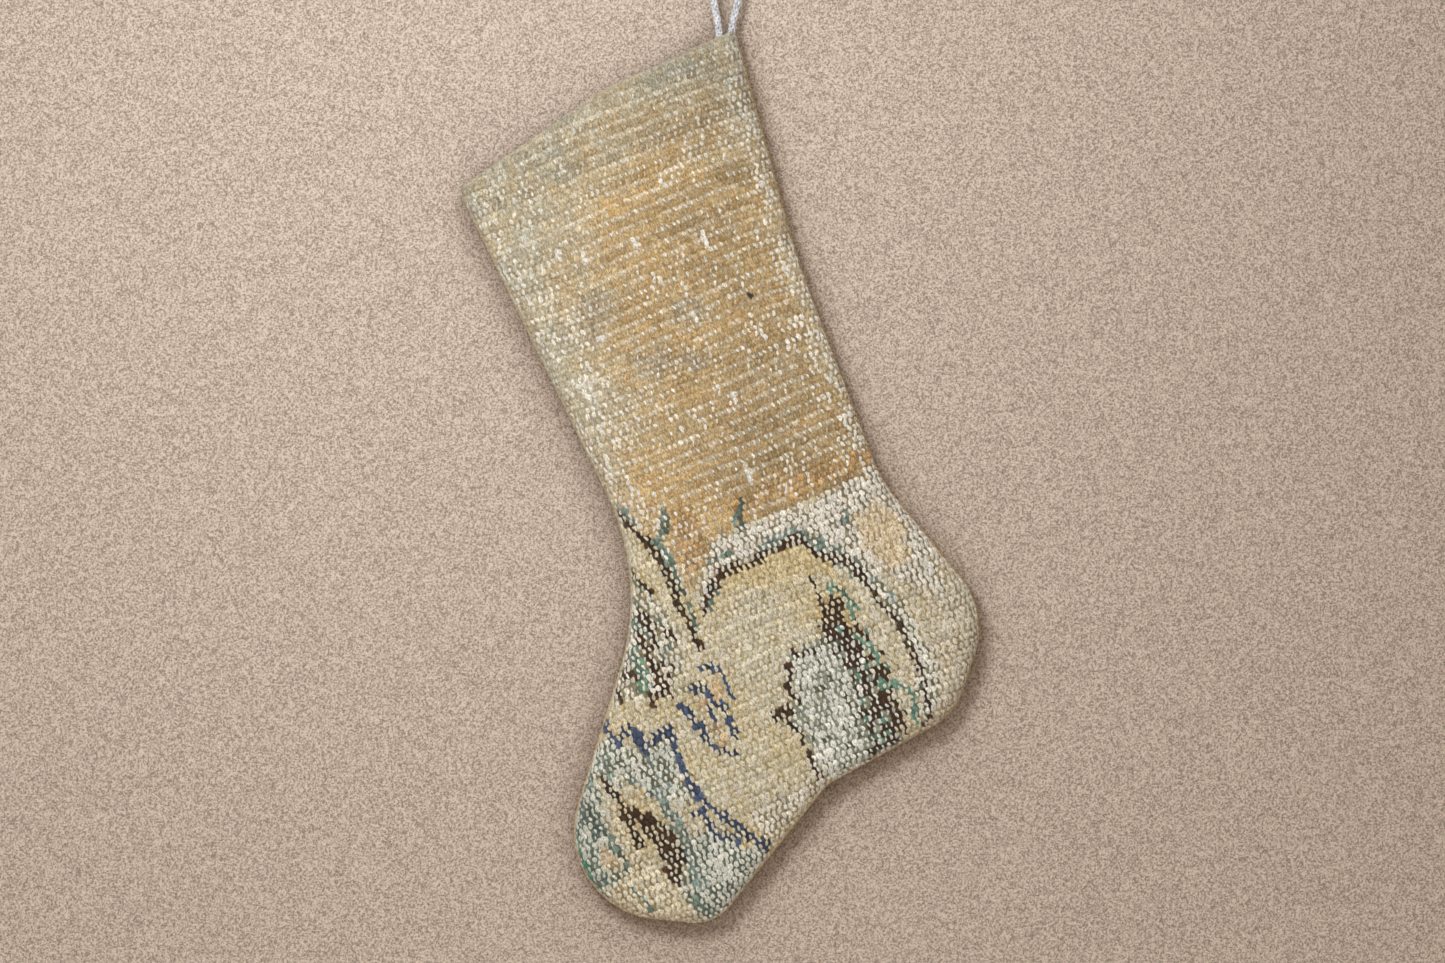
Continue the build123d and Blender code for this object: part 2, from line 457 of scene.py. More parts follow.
SIDE = Border([run_on(SIDES[0], CUFF_BACK), *SIDES, run_on(SIDES[-1], CUFF_FRONT)])
CUFF = Border([run_on(CUFF_CROWN, CUFF_FRONT), CUFF_CROWN, run_on(CUFF_CROWN, CUFF_BACK)])
BORDERS = np.concatenate([SIDE.points, CUFF.points])
FRONT = Profile(facing=-1, inset=0.5, lip=1.5, roll=9.0, rise=7.4, dome=1.1)
BACK = Profile(facing=1, inset=0.3, lip=1.0, roll=7.0, rise=5.6, dome=1.2)
FOLD_LIMIT = math.radians(150)  # how far the cloth turns over at the cuff
FRONT_FOLD = 0.27  # radius of that fold, as a share of the cloth's depth
BACK_FOLD = 0.12
INNER_FOLD = 0.01
CUT_MARGIN = 0.2


class Laid:
    """Flat cloth laid on a panel: each flat spot's place, outward normal and distances."""

    def __init__(self, flat, profile, fold_share):
        to_side, inward, self.round = SIDE.measure(flat)
        to_cuff, downward, _ = CUFF.measure(flat)
        self.from_seam = to_side + profile.slack
        self.from_cuff = to_cuff
        inset, depth, d_inset, d_depth = profile.at(np.maximum(self.from_seam, 0))
        ground = flat + inward * (inset - to_side)[:, None]
        fold = fold_share * depth
        bend = (fold - to_cuff) / fold
        self.past_fold = bend - FOLD_LIMIT
        turn = np.clip(bend, 0, FOLD_LIMIT)
        level = np.where(bend > 0, fold * (1 - np.sin(turn)), to_cuff)
        ground = ground + downward * (level - to_cuff)[:, None]
        depth = depth - fold * (1 - np.cos(turn))
        side_normal = inward * (-d_depth)[:, None]
        plane = side_normal * np.cos(turn)[:, None] - downward * np.sin(turn)[:, None]
        self.place = np.stack([ground[:, 0], profile.facing * depth, ground[:, 1]], axis=1)
        out = profile.facing * d_inset * np.cos(turn)
        self.normal = np.stack([plane[:, 0], out, plane[:, 1]], axis=1)
        self.slope = np.abs(out)

    def inside(self):
        return (self.from_seam > -CUT_MARGIN) & (self.past_fold < CUT_MARGIN)

    def noise(self, scale, seed, lean=0.0):
        x, _, z = self.place.T
        return soft_noise(x + lean * z, z, scale, seed)

    def pucker(self, height, reach):
        """The small waves that the side stitches pull into the cloth."""
        fade = np.exp(-np.maximum(self.from_seam, 0) / reach)
        return height * np.sin(self.round * TAU / STITCH_PITCH) * fade


def quad_faces(columns, rows, keep):
    """Quads of a grid of points, row by row, where keep says the middle is on the cloth."""
    index = np.arange(columns * rows).reshape(rows, columns)
    quads = np.stack([index[:-1, :-1], index[:-1, 1:], index[1:, 1:], index[1:, :-1]], axis=-1)
    return quads.reshape(-1, 4)[keep.ravel()]


def add_mesh(name, places, faces, material):
    """A smooth mesh object from millimetre places."""
    mesh = bpy.data.meshes.new(name)
    mesh.from_pydata((np.asarray(places) * MM).tolist(), [], faces)
    mesh.polygons.foreach_set("use_smooth", [True] * len(mesh.polygons))
    mesh.materials.append(material)
    mesh.update()
    piece = bpy.data.objects.new(name, mesh)
    bpy.context.collection.objects.link(piece)
    return piece


def add_colours(piece, key, table):
    layer = piece.data.color_attributes.new(key, "FLOAT_COLOR", "POINT")
    rgba = np.concatenate([table, np.ones((len(table), 1))], axis=1)
    layer.data.foreach_set("color", rgba.ravel())


def add_cloth(name, places, faces, material, colours=None, values=None):
    """A mesh object with its colours and values, without the points that no face uses."""
    used, inverse = np.unique(faces, return_inverse=True)
    piece = add_mesh(name, places[used], inverse.reshape(faces.shape).tolist(), material)
    for key, table in (colours or {}).items():
        add_colours(piece, key, table[used])
    for key, table in (values or {}).items():
        layer = piece.data.attributes.new(key, "FLOAT", "POINT")
        layer.data.foreach_set("value", table[used])
    return piece


# ==== Colour plan of the rug ====
BROWN = linear(62, 43, 25)
NAVY = linear(62, 73, 96)
TEAL = linear(104, 119, 106)
GREEN = linear(104, 140, 120)
GREY_TEAL = linear(124, 138, 128)
PEACH = linear(206, 180, 140)
CREAM = linear(220, 214, 201)
WHITE = linear(222, 217, 206)
OCHRE = linear(196, 165, 114)
GOLD = linear(212, 199, 174)
OLIVE = linear(180, 171, 146)
OLIVE_CREAM = linear(205, 200, 183)
SOILED_WOOL = linear(138, 132, 118)
SOILED_KNOT = linear(200, 196, 186)

# The lower edge of the ochre field, from the left side of the leg to the right.
FIELD_EDGE = [
    (-70, -250), (-57, -256), (-48, -262), (-36, -270), (-26, -283), (-16, -297), (-9, -303),
    (-5, -285), (-1, -275), (37, -259), (75, -241), (100, -229),
]

# Patches of the foot: wool between the knots, knots, and the outline.
PATCHES = [
    ((138, 126, 100), (218, 212, 199), (-50, -240), (-8, -300), (-2, -276), (37, -259), (95, -228),
        (112, -300), (60, -283), (38, -276), (16, -289), (3, -293), (-4, -314)),
    ((184, 158, 116), (213, 197, 168), (66, -264), (80, -254), (92, -264), (96, -284), (84, -290),
        (72, -279)),
    ((178, 154, 104), (204, 188, 150), (2, -300), (8, -288), (40, -276), (58, -285), (62, -292),
        (40, -292), (20, -298)),
    ((112, 112, 86), (220, 215, 202), (40, -270), (56, -273), (72, -282), (92, -304), (108, -330),
        (112, -352), (104, -362), (98, -330), (82, -304), (60, -288)),
    ((140, 143, 122), (218, 216, 205), (36, -328), (48, -325), (58, -312), (72, -324), (84, -344),
        (92, -362), (96, -376), (60, -394), (50, -384), (44, -370), (34, -362), (40, -350)),
    ((108, 112, 92), (212, 211, 198), (-64, -372), (-46, -377), (-33, -379), (-19, -370),
        (-12, -394), (-8, -402), (-24, -406), (-36, -396), (-54, -392), (-66, -400)),
    ((92, 106, 97), (198, 197, 183), (-72, -398), (-58, -392), (-50, -412), (-46, -430),
        (-44, -450), (-66, -446), (-76, -420)),
    ((98, 106, 90), (205, 204, 191), (-14, -420), (4, -416), (30, -428), (14, -456), (-4, -466),
        (-12, -446)),
    ((166, 148, 108), (214, 205, 182), (-46, -410), (-36, -428), (-18, -440), (-14, -458),
        (-34, -462), (-50, -446)),
    ((138, 130, 102), (220, 213, 197), (-50, -298), (-30, -302), (-14, -326), (-16, -352),
        (-50, -356), (-52, -330)),
    ((146, 134, 104), (218, 210, 193), (20, -408), (48, -392), (62, -392), (30, -424)),
]

# Mottled places: dye, share of the wool tufts that have it, and the outline.
BROWN_BAND = [
    (50, -312), (55, -300), (62, -300), (71, -315), (82, -328), (90, -343), (94, -357), (95, -370),
    (80, -385), (75, -370), (72, -354), (66, -338), (56, -326),
]
ARCH_SHADOW = [(40, -270), (56, -274), (72, -284), (90, -304), (82, -304), (62, -287)]
LEFT_EDGE = [
    (-46, -292), (-36, -298), (-22, -318), (-18, -345), (-40, -354), (-52, -344), (-48, -318),
]
LEFT_TOE = [(-74, -398), (-60, -394), (-52, -412), (-46, -430), (-44, -446), (-66, -446)]
HIGH_TOE = [
    (-62, -378), (-34, -380), (-20, -374), (-12, -392), (-20, -404), (-38, -396), (-62, -398),
]
PALE_CELL = [(40, -330), (58, -316), (72, -340), (78, -372), (60, -390), (44, -368)]
MOTTLES = [
    (BROWN, 0.85, BROWN_BAND),
    (GREEN, 0.10, BROWN_BAND),
    (GREY_TEAL, 0.45, ARCH_SHADOW),
    (BROWN, 0.22, LEFT_EDGE),
    (TEAL, 0.24, LEFT_EDGE),
    (TEAL, 0.50, LEFT_TOE),
    (GREY_TEAL, 0.36, HIGH_TOE),
    (linear(92, 94, 72), 0.24, PALE_CELL),
]

# Wool lines of the pattern: dye, width, share of the knots that the dye hides, and the line.
LINES = [
    (linear(200, 163, 110), 8, 0.5, (13, -258), (38, -249), (74, -232)),
    (linear(204, 168, 118), 14, 0.35, (-16, -266), (-9, -283)),
    (PEACH, 6, 0.45, (1, -344), (4, -352)),
    (PEACH, 4.6, 0.35, (-5, -356), (-3, -362)),
    (PEACH, 5, 0.35, (3, -366), (6, -373)),
    (PEACH, 8, 0.2, (-50, -430), (-49, -434)),
    (TEAL, 5, 0.5, (-25, -264), (-24, -270), (-28, -277)),
    (TEAL, 4.4, 0.35, (-32, -276), (-22, -286), (-17, -300)),
    (TEAL, 4.2, 0.25, (-12, -307), (-8, -320)),
    (GREY_TEAL, 4.4, 0.2, (-49, -260), (-41, -267)),
    (TEAL, 3.6, 0.5, (12, -257), (12, -264)),
    (TEAL, 5.4, 0.2, (10, -266), (13, -270)),
    (GREY_TEAL, 3.4, 0.3, (66, -260), (61, -265)),
    (TEAL, 4.4, 0.25, (-1, -285), (6, -282)),
    (GREY_TEAL, 4.6, 0.12, (22, -279), (38, -271)),
    (TEAL, 4.6, 0.35, (41, -272), (50, -276)),
    (GREY_TEAL, 6, 0.05, (50, -276), (66, -284)),
    (TEAL, 4.6, 0.3, (-3, -307), (1, -301)),
    (TEAL, 5, 0.25, (-43, -314), (-38, -320), (-30, -322)),
    (GREEN, 5.4, 0.05, (-38, -331), (-33, -347)),
    (TEAL, 4, 0.2, (-48, -318), (-46, -330)),
    (TEAL, 4.4, 0.2, (-66, -404), (-58, -411), (-50, -420)),
    (TEAL, 3.2, 0.4, (-49, -421), (-42, -430), (-40, -437), (-46, -440)),
    (GREY_TEAL, 6, 0.08, (-27, -399), (-14, -417), (-10, -428), (-4, -444)),
    (TEAL, 6, 0.3, (-6, -452), (2, -458)),
    (TEAL, 3.4, 0.4, (-38, -446), (-32, -452), (-28, -457), (-27, -462)),
    (GREEN, 4.6, 0.15, (56, -297), (61, -299)),
    (GREEN, 4, 0.2, (64, -301), (69, -309)),
    (GREEN, 3.6, 0.2, (72, -321), (80, -328)),
    (GREEN, 5.5, 0.35, (86, -344), (94, -345)),
    (GREEN, 4, 0.3, (99, -349), (100, -362)),
    (linear(50, 112, 90), 2.4, 0.5, (-66, -420), (-63, -431), (-58, -441), (-53, -448),
        (-47, -455)),
]
NAVY_LINES = [
    (3.8, 0.2, (-6, -339), (0, -337), (6, -341), (8, -348), (11, -353)),
    (3.8, 0.2, (-11, -349), (-5, -347), (2, -355), (7, -357), (10, -368), (13, -372)),
    (4.6, 0.25, (-14, -357), (-10, -362), (-8, -366)),
    (3.8, 0.25, (-1, -358), (2, -363)),
    (3.8, 0.15, (-4, -367), (-2, -374), (6, -379), (13, -379)),
    (4.8, 0.3, (-54, -364), (-52, -370), (-46, -375), (-39, -368), (-33, -378)),
    (4.6, 0.3, (-33, -378), (-21, -368)),
    (3.8, 0.3, (-21, -368), (-16, -382), (-11, -393)),
    (4.4, 0.3, (-11, -393), (-2, -404)),
    (5.4, 0.12, (-2, -404), (8, -412), (18, -418), (28, -425)),
    (4.4, 0.2, (-7, -410), (-3, -408), (3, -419), (13, -421)),
]
BROWN_LINES = [
    (3.8, 0.2, (-48, -264), (-32, -278), (-25, -290), (-15, -312), (-6, -329)),
    (4.2, 0.3, (-5, -312), (-3, -302), (3, -291)),
    (4.6, 0.35, (3, -291), (16, -287), (39, -274), (46, -278)),
    (4, 0.25, (46, -278), (54, -283), (62, -284)),
    (3.4, 0.08, (62, -284), (69, -287), (79, -301), (91, -315), (97, -328), (103, -343),
        (107, -357), (105, -364)),
    (3.6, 0.1, (-41, -292), (-36, -297), (-31, -301)),
    (3.6, 0.1, (-35, -313), (-28, -326)),
    (3.6, 0.1, (-28, -317), (-20, -323)),
    (4, 0.15, (-37, -323), (-30, -335), (-28, -341), (-20, -350)),
    (3.4, 0.3, (-46, -342), (-40, -342)),
    (3.2, 0.15, (-48, -349), (-44, -354)),
    (3.8, 0.35, (-31, -351), (-29, -355), (-25, -351)),
    (3.2, 0.1, (48, -294), (52, -306), (55, -312)),
    (7, 0.5, (84, -350), (89, -357)),
    (3.2, 0.1, (38, -329), (42, -331), (48, -328)),
    (3.4, 0.2, (37, -336), (39, -341), (37, -344), (38, -351), (41, -353)),
    (5, 0.45, (31, -361), (38, -357)),
    (3.2, 0.18, (37, -358), (38, -363), (46, -372), (49, -383), (54, -391)),
    (4.8, 0.2, (-52, -394), (-44, -404), (-39, -416), (-33, -425)),
    (8.5, 0.14, (-36, -410), (-28, -416), (-21, -421)),
    (11, 0.2, (-27, -416), (-18, -430), (-17, -436)),
    (4, 0.2, (-18, -434), (-17, -440), (-14, -445)),
]
LINES += [(NAVY, *line) for line in NAVY_LINES] + [(BROWN, *line) for line in BROWN_LINES]

# Bare white warps and grey soiling on the leg: x, z, length along z, width.
WHITE_SPOTS = [
    (-80, -137, 7, 3), (-66, -139, 8, 3), (-42, -132, 7, 2), (-29, -102, 8, 2.4),
    (-8, -129, 8, 3.4), (-12, -166, 5, 2.4), (15, -242, 9, 3.2), (8, -205, 5, 2), (22, -175, 5, 2),
    (-58, -178, 5, 2.4),
]
GREY_PATCHES = [
    (-21, -46, 8, 22), (-59, -162, 16, 20), (-14, -163, 14, 20), (-31, -188, 16, 24),
    (-12, -188, 10, 14), (-62, -176, 12, 12),
]
DARK_SPECK = (15, -156)


def inside_outline(points, outline):
    """How far each point is inside a closed outline, negative outside."""
    corners = np.array(outline, float)
    nexts = np.roll(corners, -1, axis=0)
    best = np.full(len(points), 1e9)
    crossed = np.zeros(len(points), bool)
    for a, b in zip(corners, nexts):
        best = np.minimum(best, line_distance(points, [a, b]))
        spans = (a[1] > points[:, 1]) != (b[1] > points[:, 1])
        with np.errstate(divide="ignore", invalid="ignore"):
            cut = (b[0] - a[0]) * (points[:, 1] - a[1]) / (b[1] - a[1]) + a[0]
        crossed ^= spans & (points[:, 0] < cut)
    return np.where(crossed, best, -best)


def line_distance(points, line):
    """Distance from each point to a line of straight runs."""
    best = np.full(len(points), 1e9)
    for a, b in zip(np.array(line[:-1], float), np.array(line[1:], float)):
        run = b - a
        t = np.clip(((points - a) @ run) / (run @ run), 0, 1)
        best = np.minimum(best, np.hypot(*(points - a - t[:, None] * run).T))
    return best


def tint_leg(spots, row, rng):
    """Olive beige at the left and the cuff, gold in the middle and right, in uneven rows."""
    x, z = spots.T
    to_side = SIDE.depth(spots)
    to_cuff = CUFF.depth(spots)
    left_edge = -38.0 - (z + 297) * 0.468
    from_left = x - left_edge
    gold = smooth(0, 78, from_left) * smooth(-15, 82, to_cuff)
    gold = gold * blend(0.5, 1.0, smooth(2, 16, to_side)) + 0.1
    gold = np.clip(gold + 0.26 * soft_noise(x, z, 24, 1) + 0.18 * soft_noise(x, z, 9, 2), 0, 1)
    lower = 1 - smooth(-245, -200, z)
    low_leg = 1 - smooth(-200, -130, z)
    orange = 0.25 + smooth(-10, 50, from_left) + 0.2 * soft_noise(x, z, 12, 1)
    gold = blend(gold, np.clip(orange, 0, 1), lower)
    stripe = row_tones(row, rng, 0.18)
    deep = smooth(0.45, 1.0, gold) * smooth(-60, 20, x + (z + 150) * 0.3)
    stripe = stripe + 0.13 * gold * soft_noise(x * 0.6, z, 17, 24)
    wool = tint(OLIVE, OCHRE, gold) * (1 + stripe - 0.28 * deep)[:, None]
    knot = tint(OLIVE_CREAM, GOLD, gold * 0.8) * (1 - 0.17 * deep)[:, None]
    ribbed = smooth(14, 40, from_left) * smooth(6, 16, to_side)
    ribbed = ribbed * np.clip(0.75 + 0.5 * soft_noise(x, z, 32, 13), 0, 1)
    pale = 0.49 + 0.32 * soft_noise(x, z, 13, 3) + np.where(row % 2, 0.46, -0.40) * ribbed
    pale += 0.20 * (1 - smooth(4, 16 + 16 * low_leg, to_side)) * (x > -20)
    pale += 0.34 * soft_noise(x * 5 + z * 2, z * 0.4, 12, 9)
    is_pale = rng.random(len(x)) < pale
    wool = wool * (1 - 0.07 * low_leg)[:, None]
    bleach = (0.38 + 0.40 * gold + 0.20 * low_leg) * rng.uniform(0.5, 1.25, len(x))
    knot = pick(is_pale, tint(knot, CREAM, bleach), blend(knot, wool, 0.7))
    wool = tint(wool, GOLD, 0.34 * ribbed * is_pale * (row % 2))
    # Painted shade towards the top of the leg and painted light towards its bottom, less where it
    # is gold, evening out the key light's fall from top to bottom.
    level = (1 + 0.07 * (1 - 0.7 * gold) * blend(1, -1, smooth(-190, -100, z)))[:, None]
    wool = wool * level
    knot = knot * level
    shows = 0.93 - 0.26 * ribbed - 0.05 * ~is_pale
    knot = tint(wool, knot, 0.35 + 0.65 * smooth(1, 9, to_cuff))
    corner = (1 - smooth(15, 75, np.hypot(x - 5, z + 35)))[:, None]
    wool = wool * (1 - 0.22 * corner)
    knot = knot * (1 - 0.12 * corner)
    return wool, knot, shows


def row_tones(row, rng, amount):
    """One lightness for each row of knots."""
    low = row.min()
    tones = rng.normal(0, amount / 2, int(row.max() - low) + 1)
    return np.clip(tones, -amount, amount)[(row - low).astype(int)]


def tint_foot(spots, row, rng):
    """Beige and cream of the foot, under its patches."""
    x, z = spots.T
    cloudy = soft_noise(x, z, 24, 4)
    wool = tint(linear(182, 167, 128), linear(186, 165, 118), smooth(-0.3, 0.7, cloudy))
    knot = tint(linear(207, 199, 178), linear(203, 191, 160), smooth(-0.5, 0.9, cloudy))
    toward_heel = smooth(85, 118, x)
    wool = tint(wool, linear(166, 150, 118), toward_heel)
    knot = tint(knot, linear(206, 196, 176), toward_heel)
    ragged = 1.6 * soft_noise(x, z, 7, 5) + rng.normal(0, 1.2, len(x))
    for patch_wool, patch_knot, *outline in PATCHES:
        share = smooth(-1.5, 2.5, inside_outline(spots, outline) + ragged)
        wool = tint(wool, linear(*patch_wool), share)
        knot = tint(knot, linear(*patch_knot), share)
    ribs = np.where(row % 2, 0.06, -0.06) + row_tones(row, rng, 0.07)
    return wool * (1 + row_tones(row, rng, 0.10))[:, None], knot * (1 + ribs)[:, None]


def plan_colours(spots, row, rng):
    """Wool colour, knot colour and how much of a knot shows, at each spot."""
    count = len(spots)
    leg_wool, leg_knot, leg_shows = tint_leg(spots, row, rng)
    foot_wool, foot_knot = tint_foot(spots, row, rng)
    x, z = spots.T
    edge_x, edge_z = np.array(FIELD_EDGE, float).T
    leg = z - np.interp(x, edge_x, edge_z) + rng.normal(0, 0.9, count) > 0
    wool = pick(leg, leg_wool, foot_wool)
    knot = pick(leg, leg_knot, foot_knot)
    shows = np.where(leg, leg_shows, 1.0) + rng.normal(0, 0.07, count)
    for dye, share, outline in MOTTLES:
        inside = inside_outline(spots, outline) + rng.normal(0, 1.0, count) > 0
        dyed = inside & (rng.random(count) < share)
        wool = pick(dyed, dye * rng.uniform(0.8, 1.2, (count, 1)), wool)
        shows = np.where(dyed, shows * 0.76, shows)
    for dye, width, hidden, *line in LINES:
        lightest = 1.8 - 0.75 * smooth(0.08, 0.30, dye.mean())
        near = line_distance(spots, line) + rng.normal(0, 0.35, count) < width / 2
        wool = pick(near, dye * rng.uniform(0.5, min(1.4, lightest), (count, 1)), wool)
        covered = near & (rng.random(count) < hidden * 0.7)
        knot = pick(covered, dye * rng.uniform(0.9, lightest, (count, 1)), knot)
        shows = np.where(near & ~covered, 0.82, shows)
    wool, knot = soil_leg(spots, wool, knot)
    for px, pz, length, width in WHITE_SPOTS:
        lean = (x - px) + 0.45 * (z - pz)
        near = np.hypot(lean / (width / 2), (z - pz) / (length / 2)) < 0.95
        knot = pick(near, WHITE, knot)
        wool = pick(near, linear(222, 214, 196), wool)
        shows = np.where(near, 0.95, shows)
    speck = np.hypot(x - DARK_SPECK[0], z - DARK_SPECK[1]) < 1.7
    return pick(speck, linear(70, 60, 48), wool), knot, shows


def soil_leg(spots, wool, knot):
    """Grey soiling, with soft ragged edges."""
    for px, pz, tall, wide in GREY_PATCHES:
        gap = spots - (px, pz)
        share = 1 - smooth(0.3, 1.2, np.hypot(gap[:, 0] / wide, gap[:, 1] / tall) * 1.6)
        share = np.clip(share * (0.75 + 0.35 * soft_noise(*spots.T, 6, 6)), 0, 1)
        wool = tint(wool, SOILED_WOOL, share * 0.62)
        knot = tint(knot, SOILED_KNOT, share * 0.6)
    return wool, knot


# ==== Rug front ====
def weave_span(direction, pitch):
    """First and last step along a direction that cover the outline and its turnings."""
    steps = BORDERS @ direction / pitch
    return int(steps.min()) - 6, int(steps.max()) + 6


ALONG_ROW = np.array([math.cos(ROW_ANGLE), math.sin(ROW_ANGLE)])
ACROSS_ROW = np.array([-math.sin(ROW_ANGLE), math.cos(ROW_ANGLE)])
FIRST_COLUMN, LAST_COLUMN = weave_span(ALONG_ROW, KNOT_PITCH)
FIRST_ROW, LAST_ROW = weave_span(ACROSS_ROW, ROW_PITCH)
COLUMNS = LAST_COLUMN - FIRST_COLUMN
ROWS = LAST_ROW - FIRST_ROW


def flat_from_weave(u, w):
    """Flat cloth spot of a point u along the rows and w across them; rows bow in the foot."""
    in_foot = 1 - smooth(-330, -240, u * ALONG_ROW[1] + w * ACROSS_ROW[1])
    bowed = w - FOOT_BOW * (u + 95) ** 2 * in_foot
    bowed = bowed + 0.7 * np.sin(u / 21 + w / 60) + 0.4 * np.sin(u / 9.0)
    return u[..., None] * ALONG_ROW + bowed[..., None] * ACROSS_ROW


def lay_knots(rng):
    """The knots, and the wool tufts beside them: uneven ovals, and the dye of each."""
    row, column = np.mgrid[FIRST_ROW:LAST_ROW, FIRST_COLUMN:LAST_COLUMN]
    row = row.ravel()
    count = len(row)
    u = (column.ravel() + ROW_STAGGER * (row % 2)) * KNOT_PITCH
    w = row * ROW_PITCH
    flat = flat_from_weave(u, w)
    tuft_flat = flat_from_weave(u + KNOT_PITCH / 2, w)
    _, knot, shows = plan_colours(flat, row, rng)
    wool, _, _ = plan_colours(tuft_flat, row, rng)
    wear = 0.16 * soft_noise(*flat.T, 18, 8)
    knots = Ovals()
    knots.u = u + rng.normal(0, 0.20, count)
    knots.w = w + rng.normal(0, 0.16, count)
    knots.long = KNOT_LONG * np.clip(shows, 0.2, 1.2) * rng.uniform(0.84, 1.12, count)
    knots.wide = KNOT_WIDE * np.clip(shows, 0.2, 1.2) ** 2 * rng.uniform(0.82, 1.14, count)
    knots.tilt = rng.normal(0, 0.12, count) + np.where(row % 2, 0.34, -0.20)
    knots.curl = rng.normal(0.05, 0.09, count)
    knots.high = (KNOT_HIGH + wear) * rng.uniform(0.8, 1.12, count) * np.clip(shows, 0.5, 1.1)
    tufts = Ovals()
    tufts.u = u + KNOT_PITCH / 2 + rng.normal(0, 0.22, count)
    tufts.w = w + rng.normal(0, 0.35, count)
    tufts.long = np.full(count, TUFT_LONG)
    tufts.wide = np.full(count, TUFT_WIDE)
    tufts.high = rng.uniform(0.34, 0.62, count)
    tufts.tilt = rng.normal(0.25, 0.25, count)
    tufts.curl = np.zeros(count)
    knots.dye = np.clip(knot * rng.uniform(0.84, 1.08, (count, 1)), 0, 1)
    fade = rng.normal(0, 1, (count, 1)) * (0.03, 0.06, 0.10)
    tufts.dye = np.clip(wool * (fade + rng.uniform(0.84, 1.14, (count, 1))), 0, 1)
    return knots, tufts


class Ovals:
    """Raised ovals, one for each place of the weave: spot, half sizes, lean, height and dye."""

    def relief(self, u, w, lowest):
        """Height, how far inside an oval, and dye, at weave points."""
        height = np.zeros(len(u))
        cover = np.full(len(u), lowest)
        chosen = np.zeros(len(u), int)
        for step_row in (-1, 0, 1):
            for step_column in (-1, 0, 1):
                k = near_place(u, w, step_column, step_row)
                inside = self.lobe(u, w, k)
                height = np.maximum(height, self.high[k] * np.sqrt(np.clip(inside, 0, 1)))
                better = inside > cover
                cover = np.where(better, inside, cover)
                chosen = np.where(better, k, chosen)
        return height, cover, self.dye[chosen]

    def lobe(self, u, w, k):
        """1 in the middle of a tilted, curled oval, 0 on its edge, negative outside."""
        du = u - self.u[k]
        dw = w - self.w[k]
        tilt = self.tilt[k]
        across = du * np.cos(tilt) + dw * np.sin(tilt)
        along = dw * np.cos(tilt) - du * np.sin(tilt)
        across = across + self.curl[k] * (along**2 - 0.7)
        return 1 - (across / self.wide[k]) ** 2 - np.abs(along / self.long[k]) ** 2.4


def near_place(u, w, step_column, step_row):
    """Index of the knot so many columns and rows from each weave point."""
    row = np.rint(w / ROW_PITCH).astype(int) + step_row
    shift = ROW_STAGGER * (row % 2)
    column = np.rint(u / KNOT_PITCH - shift).astype(int) + step_column
    row = np.clip(row - FIRST_ROW, 0, ROWS - 1)
    column = np.clip(column - FIRST_COLUMN, 0, COLUMNS - 1)
    return row * COLUMNS + column


CELL = 4.0  # side of the raster that finds the cloth's surroundings
SIDE_REACH = 12  # how far past the side and the cuff those go
CUFF_REACH = 14
LEG_FOOT_ROW = -77  # the row of knots where the leg's mesh meets the foot's
EDGE_SLOPE = 0.86  # beyond this lean the cloth belongs to the rolled edge


def weave_grid():
    """Weave coordinates, flat spots and faces of the rug's mesh, near the cloth only."""
    u_line = (FIRST_COLUMN + np.arange(COLUMNS * KNOT_STEPS) / KNOT_STEPS) * KNOT_PITCH
    w_line = (FIRST_ROW + np.arange(ROWS * ROW_STEPS) / ROW_STEPS) * ROW_PITCH
    w, u = np.meshgrid(w_line, u_line, indexing="ij")
    flat = flat_from_weave(u, w)
    middle = (flat[1:, 1:] + flat[:-1, :-1]) / 2
    faces = quad_faces(len(u_line), len(w_line), near_outline(middle.reshape(-1, 2)))
    used, inverse = np.unique(faces, return_inverse=True)
    faces = inverse.reshape(faces.shape)
    return u.ravel()[used], w.ravel()[used], flat.reshape(-1, 2)[used], faces


def make_rug_front(material):
    """The front's one cloth of knots, cut into leg, foot and rolled edge."""
    knots, tufts = lay_knots(np.random.default_rng(41))
    u, w, flat, faces = weave_grid()
    laid = Laid(flat, FRONT, FRONT_FOLD)
    knot_height, cover, knot_dye = knots.relief(u, w, -1.0)
    tuft_height, _, wool_dye = tufts.relief(u, w, -9.0)
    height = np.maximum(knot_height, tuft_height)
    height = height * blend(0.35, 1.0, smooth(0.0, 5.0, laid.from_seam))
    height = height * blend(0.55, 1.0, smooth(0.5, 6.0, laid.from_cuff))
    buckle = 0.55 * laid.noise(55, 11) + 0.2 * laid.noise(17, 12)
    lift = height + laid.pucker(0.22, 6) + buckle * smooth(2, 30, laid.from_seam)
    places = laid.place + laid.normal * lift[:, None]
    faces = faces[laid.inside()[faces].sum(axis=1) >= 3]
    rolled = laid.slope[faces].min(axis=1) < EDGE_SLOPE
    leg = (w / ROW_PITCH)[faces].mean(axis=1) > LEG_FOOT_ROW
    colours = {"ground": wool_dye, "bead": knot_dye}
    # The height also drives the painted shade between the knots.
    values = {"cover": cover, "painted_shade_height": height}
    pieces = []
    for name, chosen in (
        ("rug_knots_leg", ~rolled & leg),
        ("rug_knots_foot", ~rolled & ~leg),
        ("rug_knots_rolled_edge", rolled),
    ):
        pieces.append(add_cloth(name, places, faces[chosen], material, colours, values))
    return pieces


def near_outline(spots):
    low = spots.min(axis=0) - CELL
    cells = ((spots - low) / CELL).astype(int)
    shape = cells.max(axis=0) + 1
    corners = np.stack(np.mgrid[0 : shape[0], 0 : shape[1]], axis=-1).reshape(-1, 2)
    centres = corners * CELL + CELL / 2 + low
    allowed = (SIDE.depth(centres) > -SIDE_REACH) & (CUFF.depth(centres) > -CUFF_REACH)
    return allowed.reshape(shape)[cells[:, 0], cells[:, 1]]


